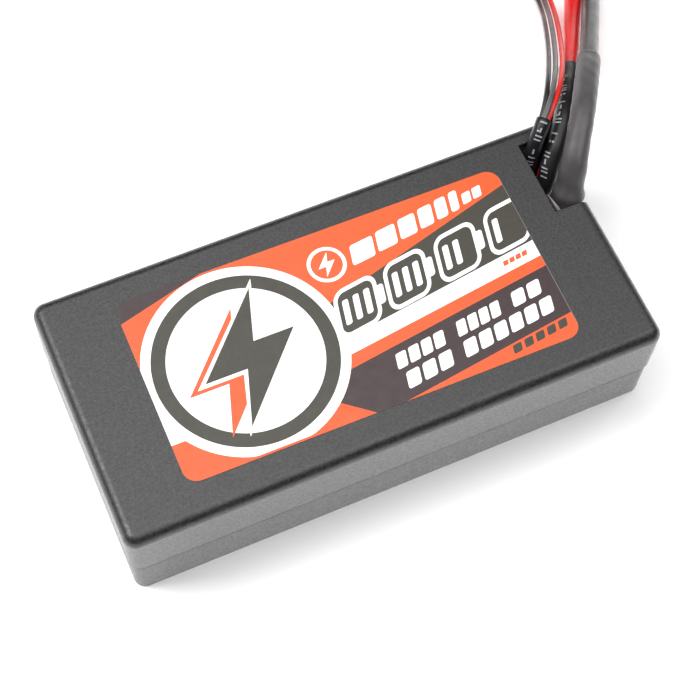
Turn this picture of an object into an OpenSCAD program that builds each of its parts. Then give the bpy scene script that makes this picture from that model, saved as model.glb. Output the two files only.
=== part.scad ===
// Two-cell lithium polymer pack in a moulded hard case, with fixed leads.
// The origin is the middle of the case's underside. X runs along the case towards the
// cable bay, Y runs across it towards the side where the leads leave, and Z is up.

/* [Case] */
// Length of the case
case_l = 96; // [94:0.5:98]
// Width of the case
case_w = 46.5; // [46:0.5:47]
// Height of the closed case
case_h = 22; // [21.5:0.25:24]
// Height of the line where the two halves meet
parting_h = 10; // [9:0.25:10.5]
// Radius of the upright corners
corner_r = 2.25; // [2.25:0.25:4]
// Radius along the upper edge
edge_r = 2; // [1:0.25:2]
// Wall thickness of the upper half
wall = 1.4; // [1.2:0.1:1.5]
// How far the lower half stands back from the upper one
tray_inset = 0.25; // [0.1:0.05:0.4]

/* [Cable bay] */
// Depth of the bay, from the end of the case
bay_l = 6.5; // [6:0.25:7]
// Width of the bay
bay_w = 14.5; // [14.5:0.25:15]
// Middle of the bay across the case
bay_y = 12.5; // [12.4:0.1:12.6]

/* [Label] */
// Length of the printed label
label_l = 70.5; // [50:0.5:74]
// Width of the printed label
label_w = 34.8; // [25:0.2:36]
// Thickness of the printed label
label_t = 0.12; // [0.08:0.02:0.3]
// Corner radius of the label
label_r = 2.5; // [1:0.5:5]
// How far the label was stuck on out of square, in degrees
label_turn = -0.4; // [-2:0.1:2]

/* [Cells] */
// Length of a cell's pouch, without its sealed end
cell_l = 72.6; // [70:0.2:72.6]
// Width of a cell over its folded side seams
cell_w = 41.4; // [40:0.2:41.4]
// Thickness of a cell
cell_h = 8.4; // [8:0.1:8.4]
// Width of a cell tab
tab_w = 8; // [6:0.5:8]
// Distance of each tab from the middle of the cell
tab_y = 10.5; // [10:0.25:11]

/* [Leads] */
// Diameter of a main lead
lead_d = 3.5; // [3:0.1:3.6]
// Diameter of a balance wire
wire_d = 1; // [0.8:0.1:1.1]
// Outer diameter of the sleeve on the negative lead
negative_sleeve_d = 4.4; // [4.3:0.05:4.4]
// Outer diameter of the sleeve on the positive lead
positive_sleeve_d = 4.2; // [4.15:0.05:4.2]
// Outer diameter of the sleeve round the balance wires
balance_sleeve_d = 2.75; // [2.75:0.05:2.85]

/* [Plugs] */
// Length of the main plug's housing
plug_l = 14; // [12:0.5:16]
// Width of the main plug's housing
plug_w = 16; // [15:0.5:17]
// Thickness of the main plug's housing
plug_t = 8; // [8:0.5:9]
// Distance from the middle of the main plug to each lead
plug_lead_y = 3.2; // [3.1:0.05:3.3]
// Pitch of the balance connector's contacts
contact_pitch = 2.5; // [2.5:0.04:2.54]

/* [Hidden] */
$fn = 64;

cut = 1;                        // how far a cutting shape runs past the solid
fit_gap = 0.1;                  // clearance between pieces that lie against each other

// Case
half_l = case_l / 2;
half_w = case_w / 2;
floor_t = 1.4;
lip_t = 0.7;
lip_h = 1.4;
lip_gap = 0.1;
tray_wall = wall + lip_gap + lip_t - tray_inset;
tray_l = case_l - 2 * tray_inset;
tray_w = case_w - 2 * tray_inset;
tray_r = corner_r - tray_inset;
cavity_l = tray_l - 2 * tray_wall;
cavity_w = tray_w - 2 * tray_wall;
cavity_r = 0.8;
bay_x = half_l - bay_l;         // face of the bay's inner wall
bay_wall = 1.4;
bay_lo = bay_y - bay_w / 2;
bay_hi = bay_y + bay_w / 2;
slot_h = 7;                     // height of the leads' slot in the bay's inner wall
slot_side = 0.4;

// Cells, foam and tape, from the floor up
pad_t = 0.7;
tape_t = 0.2;
cell_x = -44;                   // closed end of the cells
cell_end = cell_x + cell_l;
lower_z = floor_t + pad_t + fit_gap;
tape_z = lower_z + cell_h;
upper_z = tape_z + tape_t;
top_pad_z = upper_z + cell_h + fit_gap;
top_pad_t = case_h - wall - top_pad_z - fit_gap;
seam_t = 0.4;
seam_h = 5;
terrace_l = 2.6;
terrace_t = 1;

// Tab board, and the tabs folded over its outer face
board_x = 33;
board_t = 1;
board_lo_y = -19;
board_hi_y = 19.6;
board_z = 2.6;
board_h = 16.4;
pad_foil = 0.1;
tab_t = 0.2;
tab_foot = 3.6;
foot_x = board_x + board_t + pad_foil;
lead_x = 35;                    // where the leads start
insulator_t = 0.15;

// Where the leads run straight through the adhesive
adhesive_x = 35.6;
adhesive_l = 1.8;
lead_z = 12.5;
negative_y = 8;
positive_y = 12.9;
balance_y = 17.2;

// Main plug and balance connector, lying behind the case
plug_pos = [77, 78];
plug_turn = 115;
connector_pos = [62.4, 76.8];
connector_turn = 130;
connector_l = 9.8;
connector_w = 9.9;
connector_t = 6;
contact_w = 5.4;
contact_t = 1;
contact_l = 16;
contact_tail = 4;
plug_gap = contact_tail + fit_gap; // from the leads' ends to the housing
boot_l = 9;
boot_r = 3.1;
boot_bore_r = contact_w / 2 + 0.05;

sleeve_slack = 0.4;             // difference between a sleeve's bore and the lead in it
lead_sides = 12;
wire_sides = 8;

// Routes, from the tab board to the plugs: x, y, z.
NEGATIVE_ROUTE = [[35, 8, 12.5], [38, 8, 12.5], [41, 8, 13.1], [43.7, 8.1, 14.7],
    [45.6, 8.5, 17.2], [46.6, 9.4, 20.4], [47.6, 11.1, 23.6], [49.6, 14.1, 26],
    [53, 19, 26.8], [57.4, 25.4, 24.6], [62.4, 32.6, 20.2], [67.4, 40, 15],
    [72.2, 47.2, 9.8], [76.6, 54, 5.2], [80.4, 60.4, 2.4], [82.7, 66.6, 1.9],
    [82.9, 71.4, 2.4], [81.8, 75.3, 3.4], [79.9, 79.35, 4]];
POSITIVE_ROUTE = [[35, 12.9, 12.5], [38, 12.9, 12.5], [40.8, 12.9, 13], [43.1, 13.2, 14.4],
    [44.7, 14, 16.7], [46.1, 15.6, 19.2], [48.7, 17.9, 21.8], [51.8, 21.8, 22.7],
    [55.7, 27.6, 20.3], [60.2, 34.4, 15.6], [64.8, 41.2, 11.2], [69, 47.8, 7],
    [72.8, 53.8, 3.8], [75.8, 59.3, 2], [77.3, 64.4, 1.9], [77.3, 68.8, 2.4],
    [76.1, 72.5, 3.4], [74.1, 76.65, 4]];
// The balance wires share one route: x, y, z, then the sideways spacing of the wires
// and the lift that sets the middle wire above the outer two.
BALANCE_ROUTE = [[35, 17.2, 12.5, 0.53, 1], [38, 17.2, 12.5, 0.53, 1],
    [40.6, 17.1, 13.5, 0.53, 1], [42.7, 17.1, 15.8, 0.53, 1], [43, 17.5, 18.8, 0.53, 1],
    [43.5, 18, 21.8, 0.53, 1], [44.8, 19.2, 24.2, 0.53, 1], [46.8, 21.1, 25.7, 0.55, 1],
    [48.9, 23.4, 26.1, 0.8, 0.6], [51.9, 27.4, 24.9, 1.1, 0.2], [56, 33.6, 20.8, 1.25, 0],
    [60.4, 41, 15, 1.25, 0], [64.6, 48.6, 9, 1.25, 0], [68, 55.4, 3.8, 1.25, 0],
    [70, 61.4, 0.8, 1.25, 0], [69.8, 67, 0.7, 1.3, 0], [67, 71.8, 1.6, 1.7, 0],
    [64.3, 74.6, 2.6, 2.2, 0], [62.4, 76.8, 3, 2.5, 0]];
// First and last point of the routes that each sleeve covers
NEGATIVE_SLEEVE = [3, 10];
POSITIVE_SLEEVE = [3, 9];
BALANCE_SLEEVE = [3, 7];

// ---- functions -----------------------------------------------------------------------

function unit(v) = v / norm(v);

function xyz(p) = [p[0], p[1], p[2]];

// Direction of a route at point i
function tangent(route, i) =
    unit(xyz(route[min(i + 1, len(route) - 1)]) - xyz(route[max(i - 1, 0)]));

// Level direction to the left of a route at point i
function leftward(route, i) = unit(cross([0, 0, 1], tangent(route, i)));

function upward(route, i) = cross(tangent(route, i), leftward(route, i));

// Route of one balance wire: side is -1, 0 or 1, and the bundle stays about its centre
function wire_route(side) = [for (i = [0:len(BALANCE_ROUTE) - 1])
    let (p = BALANCE_ROUTE[i], lift = side == 0 ? 0.6 * p[4] : -0.3 * p[4])
    xyz(p) + side * p[3] * leftward(BALANCE_ROUTE, i) + lift * upward(BALANCE_ROUTE, i)];

function ring(route, i, r, sides) = [for (k = [0:sides - 1])
    xyz(route[i]) + r * (cos(360 * k / sides) * leftward(route, i)
    + sin(360 * k / sides) * upward(route, i))];

// ---- shared shapes -------------------------------------------------------------------

module rounded_rect(l, w, r) {
    square([l - 2 * r, w], center = true);
    square([l, w - 2 * r], center = true);
    for (x = [-1, 1], y = [-1, 1])
        translate([x * (l / 2 - r), y * (w / 2 - r)]) circle(r);
}

// Block with upright rounded corners, and its upper edge rounded to edge_r
module case_block() {
    inner_r = corner_r - edge_r;
    edge_z = case_h - edge_r;
    linear_extrude(edge_z) rounded_rect(case_l, case_w, corner_r);
    linear_extrude(case_h) rounded_rect(case_l - 2 * edge_r, case_w - 2 * edge_r, inner_r);
    for (side = [-1, 1]) {
        translate([0, side * (half_w - edge_r), edge_z]) rotate([0, 90, 0])
            cylinder(r = edge_r, h = case_l - 2 * corner_r, center = true);
        translate([side * (half_l - edge_r), 0, edge_z]) rotate([90, 0, 0])
            cylinder(r = edge_r, h = case_w - 2 * corner_r, center = true);
    }
    for (x = [-1, 1], y = [-1, 1])
        translate([x * (half_l - corner_r), y * (half_w - corner_r), edge_z])
            rotate_extrude() intersection() {
                translate([inner_r, 0]) circle(edge_r);
                translate([inner_r, 0]) square(edge_r);
            }
}

// Bar along X with rounded long edges, from x = 0
module rounded_bar(l, w, h, r) {
    rotate([90, 0, 90]) linear_extrude(l) rounded_rect(w, h, r);
}

// Two triangles across the four-sided patch a, b, c, d
function patch(a, b, c, d) = [[a, b, c], [a, c, d]];

// Triangles between the rings of a tube whose points start at number start
function skin(n, sides, start) = [for (i = [0:n - 2], k = [0:sides - 1])
    let (a = start + i * sides, m = (k + 1) % sides)
    each patch(a + k, a + sides + k, a + sides + m, a + m)];

function turned_over(faces) = [for (f = faces) [f[2], f[1], f[0]]];

// Solid tube swept along a route
module swept_cord(route, r, sides) {
    n = len(route);
    points = [for (i = [0:n - 1]) each ring(route, i, r, sides)];
    first = [for (k = [0:sides - 1]) k];
    last = [for (k = [sides - 1:-1:0]) (n - 1) * sides + k];
    polyhedron(points, concat(skin(n, sides, 0), [first, last]), convexity = 10);
}

// Open-ended sleeve swept along the part of a route between two of its points
module swept_sleeve(route, ends, d, bore_d, sides) {
    n = ends[1] - ends[0] + 1;
    inner = n * sides;
    points = [for (r = [d / 2, bore_d / 2], i = [ends[0]:ends[1]]) each ring(route, i, r, sides)];
    first = [for (k = [0:sides - 1])
        let (m = (k + 1) % sides) each patch(k, m, inner + m, inner + k)];
    last = [for (f = first) [for (j = [2:-1:0]) f[j] + (n - 1) * sides]];
    polyhedron(points, concat(skin(n, sides, 0), turned_over(skin(n, sides, inner)), first, last),
        convexity = 10);
}

// Bores along X where the leads and wires pass
module lead_bores(x, l, clearance) {
    for (y = [negative_y, positive_y])
        translate([x, y, lead_z]) rotate([0, 90, 0])
            cylinder(d = lead_d + 2 * clearance, h = l);
    for (side = [-1, 0, 1])
        let (p = wire_route(side)[0])
        translate([x, p[1], p[2]]) rotate([0, 90, 0])
            cylinder(d = wire_d + 2 * clearance, h = l);
}

// ---- case ----------------------------------------------------------------------------

module top_case() {
    color([0.16, 0.16, 0.17]) difference() {
        case_block();
        // everything below the parting line
        translate([0, 0, -cut]) linear_extrude(parting_h + cut) square(2 * case_l, center = true);
        // room for the cells, stopping at the bay
        difference() {
            translate([0, 0, parting_h - cut]) linear_extrude(case_h - wall - parting_h + cut)
                rounded_rect(case_l - 2 * wall, case_w - 2 * wall, corner_r - wall);
            translate([bay_x - bay_wall, bay_lo - bay_wall, 0])
                cube([half_l, case_w, case_h]);
        }
        // the bay, open above and at the end
        translate([bay_x, bay_lo, parting_h - cut]) cube([bay_l + cut, bay_w, case_h]);
        // slot that lets the leads into the bay
        translate([bay_x - bay_wall - cut, bay_lo + slot_side, parting_h - cut])
            cube([bay_wall + 2 * cut, bay_w - 2 * slot_side, slot_h + cut]);
    }
}

module bottom_case() {
    shelf_x = bay_x - bay_wall;
    shelf_y = bay_lo - bay_wall;
    color([0.15, 0.15, 0.16]) difference() {
        union() {
            linear_extrude(parting_h) rounded_rect(tray_l, tray_w, tray_r);
            // lip that locates the upper half
            linear_extrude(parting_h + lip_h)
                rounded_rect(case_l - 2 * (wall + lip_gap), case_w - 2 * (wall + lip_gap),
                    corner_r - wall - lip_gap);
        }
        // room for the cells, with a shelf left under the bay
        difference() {
            translate([0, 0, floor_t]) linear_extrude(case_h)
                rounded_rect(cavity_l, cavity_w, cavity_r);
            translate([shelf_x, shelf_y, parting_h - floor_t]) cube([half_l, case_w, floor_t]);
        }
        // no lip round the bay
        translate([shelf_x - lip_gap, shelf_y - lip_gap, parting_h])
            cube([half_l, case_w, case_h]);
    }
}

module top_label() {
    color([0.93, 0.36, 0.24]) translate([0, 0, case_h]) rotate([0, 0, label_turn])
        linear_extrude(label_t) rounded_rect(label_l, label_w, label_r);
}

// ---- cells and packing ---------------------------------------------------------------

module cell(z) {
    body_w = cell_w - 2 * (seam_t + 0.05);
    color([0.72, 0.73, 0.74]) translate([cell_x, 0, z]) {
        translate([0, 0, cell_h / 2]) rounded_bar(cell_l, body_w, cell_h, 1.4);
        // sealed end that the tabs come out of
        translate([cell_l, -body_w / 2, (cell_h - terrace_t) / 2])
            cube([terrace_l, body_w, terrace_t]);
        // side seams folded up against the pouch
        for (side = [-1, 1])
            translate([0, side * (cell_w - seam_t) / 2 - seam_t / 2, (cell_h - seam_h) / 2])
                cube([cell_l, seam_t, seam_h]);
        for (side = [-1, 1])
            translate([0, side * (body_w / 2 + 0.025) - 0.075, cell_h / 2 - 0.3])
                cube([cell_l, 0.15, 0.6]);
    }
}

module lower_cell() {
    cell(lower_z);
}

module upper_cell() {
    cell(upper_z);
}

module cell_bond_tape() {
    color([0.95, 0.93, 0.86]) translate([cell_x + 6, -15, tape_z])
        cube([cell_l - 12, 30, tape_t]);
}

module bottom_foam_pad() {
    color([0.2, 0.2, 0.21]) translate([cell_x + 2, -19, floor_t]) cube([cell_l - 4, 38, pad_t]);
}

module top_foam_pad() {
    color([0.2, 0.2, 0.21]) translate([cell_x + 2, -19, top_pad_z])
        cube([cell_l - 4, 38, top_pad_t]);
}

module end_foam_block() {
    x = -cavity_l / 2 + fit_gap;
    color([0.22, 0.22, 0.23]) translate([x, -18, floor_t + pad_t])
        cube([cell_x - fit_gap - x, 36, 2 * cell_h]);
}

// ---- tab board -----------------------------------------------------------------------

// Tab of a cell: out of the sealed end, through the board and folded by fold (1 up, -1 down)
module cell_tab(cell_z, y, fold, tint) {
    z = cell_z + cell_h / 2;
    start = cell_end + terrace_l;
    color(tint) translate([0, y - tab_w / 2, z - tab_t / 2]) {
        translate([start, 0, 0]) cube([foot_x + tab_t - start, tab_w, tab_t]);
        translate([foot_x, 0, fold > 0 ? 0 : tab_t - tab_foot]) cube([tab_t, tab_w, tab_foot]);
    }
}

module lower_negative_tab() {
    cell_tab(lower_z, tab_y, -1, [0.78, 0.76, 0.7]);
}

module lower_positive_tab() {
    cell_tab(lower_z, -tab_y, 1, [0.82, 0.83, 0.85]);
}

module upper_negative_tab() {
    cell_tab(upper_z, -tab_y, -1, [0.78, 0.76, 0.7]);
}

module upper_positive_tab() {
    cell_tab(upper_z, tab_y, 1, [0.82, 0.83, 0.85]);
}

module tab_board() {
    slot_gap = 0.15;
    color([0.1, 0.36, 0.2]) difference() {
        translate([board_x, board_lo_y, board_z])
            cube([board_t, board_hi_y - board_lo_y, board_h]);
        for (z = [lower_z, upper_z], y = [-tab_y, tab_y])
            translate([board_x - cut, y - tab_w / 2 - slot_gap,
                    z + cell_h / 2 - tab_t / 2 - slot_gap])
                cube([board_t + 2 * cut, tab_w + 2 * slot_gap, tab_t + 2 * slot_gap]);
    }
}

// Copper areas on the outer face: the series link, the two ends and the wire pads
module board_pads() {
    low = lower_z + cell_h / 2;
    high = upper_z + cell_h / 2;
    gap = 0.3;
    color([0.8, 0.52, 0.26]) translate([board_x + board_t, 0, 0]) {
        translate([0, -tab_y - tab_w / 2, low + gap])
            cube([pad_foil, tab_w, high - low - 2 * gap]);
        translate([0, tab_y - tab_w / 2, low - gap - tab_foot])
            cube([pad_foil, tab_w, tab_foot]);
        translate([0, tab_y - tab_w / 2, high + gap]) cube([pad_foil, tab_w, tab_foot - 0.6]);
        for (y = [negative_y, positive_y])
            translate([0, y - 1.8, lead_z - 2]) cube([pad_foil, 3.6, 3.8]);
        translate([0, balance_y - 1.4, lead_z - 1.4]) cube([pad_foil, 2.8, 2.8]);
    }
}

module board_insulator() {
    color([0.85, 0.55, 0.15]) translate([board_x - insulator_t - 0.05, board_lo_y + 0.5, board_z])
        difference() {
            cube([insulator_t, board_hi_y - board_lo_y - 1, board_h]);
            for (z = [lower_z, upper_z], y = [-tab_y, tab_y])
                translate([-cut, y - tab_w / 2 - 0.3 - board_lo_y - 0.5,
                        z + cell_h / 2 - tab_t / 2 - 0.3 - board_z])
                    cube([insulator_t + 2 * cut, tab_w + 0.6, tab_t + 0.6]);
        }
}

// Solder fillets across the folded tabs
module tab_solder() {
    fillet = 0.5;
    seam_l = tab_w - 1;
    z_low = lower_z + cell_h / 2;
    z_high = upper_z + cell_h / 2;
    color([0.75, 0.76, 0.78])
        for (spot = [[-tab_y, z_low + 2], [-tab_y, z_high - 2], [tab_y, z_low - 2],
                [tab_y, z_high + 2]])
            translate([foot_x + tab_t, spot[0] - seam_l / 2, spot[1] - fillet])
                cube([fillet, seam_l, 2 * fillet]);
}

// Solder between the board's pads and the ends of the leads and wires
module lead_solder() {
    l = lead_x - foot_x;
    color([0.75, 0.76, 0.78]) {
        for (y = [negative_y, positive_y])
            translate([foot_x, y, lead_z]) rotate([0, 90, 0]) cylinder(d = 3, h = l);
        for (side = [-1, 0, 1])
            let (p = wire_route(side)[0])
            translate([foot_x, p[1], p[2]]) rotate([0, 90, 0]) cylinder(d = 0.7, h = l);
    }
}

// Bead of adhesive that grips the leads inside the bay's inner wall
module lead_adhesive() {
    color([0.12, 0.12, 0.12]) difference() {
        translate([adhesive_x, 5.4, parting_h]) cube([adhesive_l, 13.9, 6]);
        lead_bores(adhesive_x - cut, adhesive_l + 2 * cut, 0.06);
    }
}

// ---- leads and sleeves ---------------------------------------------------------------

module negative_lead() {
    color([0.1, 0.1, 0.11]) swept_cord(NEGATIVE_ROUTE, lead_d / 2, lead_sides);
}

module positive_lead() {
    color([0.75, 0.1, 0.08]) swept_cord(POSITIVE_ROUTE, lead_d / 2, lead_sides);
}

module negative_sleeve() {
    color([0.22, 0.21, 0.22])
        swept_sleeve(NEGATIVE_ROUTE, NEGATIVE_SLEEVE, negative_sleeve_d, lead_d + sleeve_slack,
            lead_sides);
}

module positive_sleeve() {
    color([0.12, 0.12, 0.13])
        swept_sleeve(POSITIVE_ROUTE, POSITIVE_SLEEVE, positive_sleeve_d, lead_d + sleeve_slack,
            lead_sides);
}

module balance_wire_black() {
    color([0.1, 0.1, 0.11]) swept_cord(wire_route(1), wire_d / 2, wire_sides);
}

module balance_wire_middle() {
    color([0.3, 0.3, 0.31]) swept_cord(wire_route(0), wire_d / 2, wire_sides);
}

module balance_wire_red() {
    color([0.8, 0.12, 0.08]) swept_cord(wire_route(-1), wire_d / 2, wire_sides);
}

module balance_sleeve() {
    color([0.12, 0.12, 0.13])
        swept_sleeve(BALANCE_ROUTE, BALANCE_SLEEVE, balance_sleeve_d,
            balance_sleeve_d - sleeve_slack, lead_sides);
}

// ---- balance connector ---------------------------------------------------------------

module place_connector() {
    translate([connector_pos[0], connector_pos[1], connector_t / 2]) rotate([0, 0, connector_turn])
        children();
}

// Housing with a cavity for each contact, and two guide ribs on its upper face
module balance_housing() {
    cavity = 1.7;
    rib_t = 0.7;
    color([0.93, 0.93, 0.9]) place_connector() difference() {
        union() {
            translate([0, -connector_w / 2, -connector_t / 2])
                cube([connector_l, connector_w, connector_t - rib_t]);
            for (side = [-1, 1])
                translate([0, side * 3 - 0.5, -connector_t / 2]) cube([connector_l - 2, 1, connector_t]);
        }
        for (k = [-1, 0, 1])
            translate([-cut, k * contact_pitch - cavity / 2, -cavity / 2])
                cube([connector_l + 2 * cut, cavity, cavity]);
    }
}

module balance_contacts() {
    barrel = 1.3;
    color([0.86, 0.84, 0.78]) place_connector()
        for (k = [-1, 0, 1])
            translate([0.6, k * contact_pitch - barrel / 2, -barrel / 2])
                difference() {
                    cube([7.4, barrel, barrel]);
                    translate([2.4, 0.3, 0.3]) cube([7.4, barrel - 0.6, barrel - 0.6]);
                }
}

// ---- main plug -----------------------------------------------------------------------

module place_plug() {
    translate([plug_pos[0], plug_pos[1], plug_t / 2]) rotate([0, 0, plug_turn]) children();
}

// Contact on one side of the plug: side is -1 or 1, and upright turns the blade on edge
module contact_blade(side, upright, grow) {
    w = upright ? contact_t : contact_w;
    h = upright ? contact_w : contact_t;
    translate([plug_gap - contact_tail, side * plug_lead_y - w / 2 - grow, -h / 2 - grow])
        cube([contact_l + (grow > 0 ? plug_l : 0), w + 2 * grow, h + 2 * grow]);
}

module plug_housing() {
    grip_groove = 0.5;
    color([0.72, 0.1, 0.09]) place_plug() difference() {
        translate([plug_gap, 0, 0]) rounded_bar(plug_l, plug_w, plug_t, 1.2);
        contact_blade(-1, true, 0.15);
        contact_blade(1, false, 0.15);
        // grip grooves across the upper and lower faces
        for (k = [0:4], side = [-1, 1])
            translate([plug_gap + 2 + 1.8 * k, -plug_w / 2 - cut, side * plug_t / 2 - grip_groove])
                cube([0.8, plug_w + 2 * cut, 2 * grip_groove]);
    }
}

module negative_contact() {
    color([0.86, 0.7, 0.32]) place_plug() contact_blade(-1, true, 0);
}

module positive_contact() {
    color([0.86, 0.7, 0.32]) place_plug() contact_blade(1, false, 0);
}

// Shrunk boot over the end of a lead and the tail of its contact
module boot(side, tint) {
    color(tint) place_plug() translate([plug_gap - fit_gap - boot_l, side * plug_lead_y, 0])
        rotate([0, 90, 0]) difference() {
            cylinder(r = boot_r, h = boot_l);
            translate([0, 0, -cut]) cylinder(r = boot_bore_r, h = boot_l + 2 * cut);
        }
}

module negative_boot() {
    boot(-1, [0.11, 0.11, 0.12]);
}

module positive_boot() {
    boot(1, [0.75, 0.12, 0.1]);
}

top_case();
bottom_case();
top_label();
lower_cell();
upper_cell();
cell_bond_tape();
bottom_foam_pad();
top_foam_pad();
end_foam_block();
lower_negative_tab();
lower_positive_tab();
upper_negative_tab();
upper_positive_tab();
tab_board();
board_pads();
board_insulator();
tab_solder();
lead_solder();
lead_adhesive();
negative_lead();
positive_lead();
negative_sleeve();
positive_sleeve();
balance_wire_black();
balance_wire_middle();
balance_wire_red();
balance_sleeve();
balance_housing();
balance_contacts();
negative_boot();
positive_boot();
plug_housing();
negative_contact();
positive_contact();
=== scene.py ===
import math

import bmesh
import bpy
import numpy as np
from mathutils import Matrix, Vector, geometry


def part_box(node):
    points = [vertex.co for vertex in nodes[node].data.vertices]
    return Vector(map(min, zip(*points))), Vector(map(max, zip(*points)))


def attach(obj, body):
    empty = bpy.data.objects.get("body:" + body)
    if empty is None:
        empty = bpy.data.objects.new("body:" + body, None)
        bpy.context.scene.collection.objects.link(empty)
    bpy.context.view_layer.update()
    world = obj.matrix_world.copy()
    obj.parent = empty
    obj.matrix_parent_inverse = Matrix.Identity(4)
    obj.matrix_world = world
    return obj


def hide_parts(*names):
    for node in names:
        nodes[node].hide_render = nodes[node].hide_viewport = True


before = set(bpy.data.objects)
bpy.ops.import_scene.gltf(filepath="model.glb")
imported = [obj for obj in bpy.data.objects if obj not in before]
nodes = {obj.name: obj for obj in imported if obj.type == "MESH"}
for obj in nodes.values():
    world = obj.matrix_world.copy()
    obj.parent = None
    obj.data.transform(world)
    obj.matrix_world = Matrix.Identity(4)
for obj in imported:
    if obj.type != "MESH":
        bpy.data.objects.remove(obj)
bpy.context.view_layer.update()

# Sizes and places are in mm, in the object's own frame, and MM turns them into metres
MM = 0.001
SCENE = bpy.context.scene
SCENE.view_settings.view_transform = "Standard"

# ---- camera --------------------------------------------------------------------------

CAMERA_PLACE = (-57.92, -111.845, 271.938)
CAMERA_TURN = (25.6444, -1.8777, -23.771)
CAMERA_LENS = 86.28

eye = bpy.data.cameras.new("camera")
eye.lens = CAMERA_LENS
eye.sensor_width = 36
eye.clip_start = 0.01
eye.clip_end = 20
camera = bpy.data.objects.new("camera", eye)
camera.location = [MM * x for x in CAMERA_PLACE]
camera.rotation_euler = [math.radians(a) for a in CAMERA_TURN]
SCENE.collection.objects.link(camera)
SCENE.camera = camera

# ---- cord routes: the same points as the CAD, in mm ----------------------------------

NEGATIVE_ROUTE = [
    (35, 8, 12.5), (38, 8, 12.5), (41, 8, 13.1), (43.7, 8.1, 14.7), (45.6, 8.5, 17.2),
    (46.6, 9.4, 20.4), (47.6, 11.1, 23.6), (49.6, 14.1, 26), (53, 19, 26.8), (57.4, 25.4, 24.6),
    (62.4, 32.6, 20.2), (67.4, 40, 15), (72.2, 47.2, 9.8), (76.6, 54, 5.2), (80.4, 60.4, 2.4),
    (82.7, 66.6, 1.9), (82.9, 71.4, 2.4), (81.8, 75.3, 3.4), (79.9, 79.35, 4),
]
POSITIVE_ROUTE = [
    (35, 12.9, 12.5), (38, 12.9, 12.5), (40.8, 12.9, 13), (43.1, 13.2, 14.4), (44.7, 14, 16.7),
    (46.1, 15.6, 19.2), (48.7, 17.9, 21.8), (51.8, 21.8, 22.7), (55.7, 27.6, 20.3),
    (60.2, 34.4, 15.6), (64.8, 41.2, 11.2), (69, 47.8, 7), (72.8, 53.8, 3.8), (75.8, 59.3, 2),
    (77.3, 64.4, 1.9), (77.3, 68.8, 2.4), (76.1, 72.5, 3.4), (74.1, 76.65, 4),
]
# The balance wires share a route: x, y, z, sideways spacing, lift of the middle wire
BALANCE_ROUTE = [
    (35, 17.2, 12.5, 0.53, 1), (38, 17.2, 12.5, 0.53, 1), (40.6, 17.1, 13.5, 0.53, 1),
    (42.7, 17.1, 15.8, 0.53, 1), (43, 17.5, 18.8, 0.53, 1), (43.5, 18, 21.8, 0.53, 1),
    (44.8, 19.2, 24.2, 0.53, 1), (46.8, 21.1, 25.7, 0.55, 1), (48.9, 23.4, 26.1, 0.8, 0.6),
    (51.9, 27.4, 24.9, 1.1, 0.2), (56, 33.6, 20.8, 1.25, 0), (60.4, 41, 15, 1.25, 0),
    (64.6, 48.6, 9, 1.25, 0), (68, 55.4, 3.8, 1.25, 0), (70, 61.4, 0.8, 1.25, 0),
    (69.8, 67, 0.7, 1.3, 0), (67, 71.8, 1.6, 1.7, 0), (64.3, 74.6, 2.6, 2.2, 0),
    (62.4, 76.8, 3, 2.5, 0),
]
NEGATIVE_SLEEVE = (3, 10)
POSITIVE_SLEEVE = (3, 9)
BALANCE_SLEEVE = (3, 7)
LEAD_D = 3.5
WIRE_D = 1.0
RUN_STEP = 0.5                  # spacing of a run's places
SMOOTHING = 24                  # rounds of averaging along a run, clear of both ends


class Run:
    """A smooth route: evenly spaced places with their directions, all in mm."""

    def __init__(self, route):
        points = np.array([p[:3] for p in route], float)
        ahead = np.vstack([points[1:], points[-1:]])
        behind = np.vstack([points[:1], points[:-1]])
        along = normalised(ahead - behind)
        left = normalised(np.cross([0, 0, 1], along))
        rows = np.hstack([points, left, np.array([p[3:] for p in route]).reshape(len(route), -1)])
        rows = even(catmull_rom(rows), RUN_STEP)
        for _ in range(SMOOTHING):
            rows[8:-3] = 0.5 * rows[8:-3] + 0.25 * (rows[7:-4] + rows[9:-2])
        self.place = rows[:, :3]
        self.along = normalised(np.gradient(self.place, axis=0))
        left = rows[:, 3:6]
        left = left - (left * self.along).sum(1, keepdims=True) * self.along
        self.left = normalised(left)
        self.up = np.cross(self.along, self.left)
        self.extra = rows[:, 6:]
        gaps = np.linalg.norm(np.diff(self.place, axis=0), axis=1)
        self.s = np.concatenate([[0], np.cumsum(gaps)])

    def beside(self, side):
        """The run of one balance wire: side is -1, 0 or 1."""
        lift = (0.6 if side == 0 else -0.3) * self.extra[:, 1]
        other = object.__new__(Run)
        other.place = (self.place + side * self.extra[:, :1] * self.left + lift[:, None] * self.up)
        other.along = normalised(np.gradient(other.place, axis=0))
        left = self.left - (self.left * other.along).sum(1, keepdims=True) * other.along
        other.left = normalised(left)
        other.up = np.cross(other.along, other.left)
        gaps = np.linalg.norm(np.diff(other.place, axis=0), axis=1)
        other.s = np.concatenate([[0], np.cumsum(gaps)])
        return other

    def at(self, s):
        """Place, left and up at distance s along the run."""
        mix = [[np.interp(s, self.s, v[:, k]) for k in range(3)] for v in (self.place, self.left, self.up)]
        return [np.array(m) for m in mix]

    def part(self, start, end):
        """Index range of the run between two distances."""
        low = int(np.searchsorted(self.s, start))
        high = int(np.searchsorted(self.s, end))
        return low, high

    def nearest(self, point):
        """Distance along the run of the place nearest to a point."""
        return float(self.s[np.argmin(np.linalg.norm(self.place - np.array(point[:3]), axis=1))])


def normalised(v):
    return v / np.linalg.norm(v, axis=1, keepdims=True)


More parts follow.
